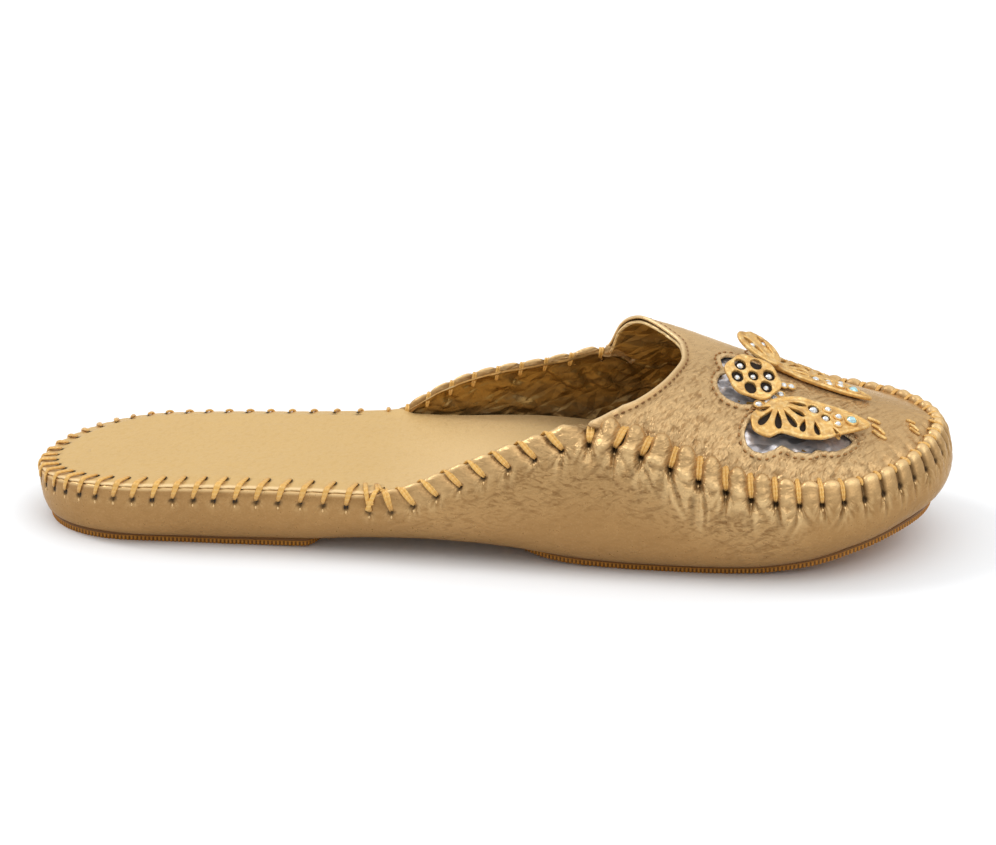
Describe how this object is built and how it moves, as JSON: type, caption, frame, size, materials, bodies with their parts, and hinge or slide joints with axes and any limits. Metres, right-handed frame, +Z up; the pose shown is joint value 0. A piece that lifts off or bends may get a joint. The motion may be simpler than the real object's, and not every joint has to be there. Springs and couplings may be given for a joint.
{
  "type": "moccasin mule slipper",
  "caption": "Open-back leather moccasin mule: wrap whipstitched to a padded footbed, puckered toe seam, butterfly on the plug, rubber sole pads.",
  "frame": {"origin": "on the floor under the middle of the shoe", "axes": "+X from heel to toe, +Y to the medial (big toe) side, +Z up"},
  "size_m": [0.254, 0.088, 0.0574],
  "materials": {
    "leather": "pearlised tan leather with a soft sheen",
    "footbed": "fine-grained pale gold leather",
    "rubber": "amber brown ribbed rubber",
    "gold_leather": "gold leather cut-outs",
    "stones": "clear and pale blue faceted stones",
    "thread": "thick waxed golden thread",
    "lining": "soft brown lining",
    "foil": "silver foil leather behind the cut-outs"
  },
  "bodies": {
    "root": {"upper": "leather", "insole": "footbed", "outsole_heel": "rubber", "outsole_forefoot": "rubber", "forewing_lateral": "gold_leather", "forewing_medial": "gold_leather", "hindwing_lateral": "gold_leather", "hindwing_medial": "gold_leather", "butterfly_body": "stones"}
  },
  "joints": []
}
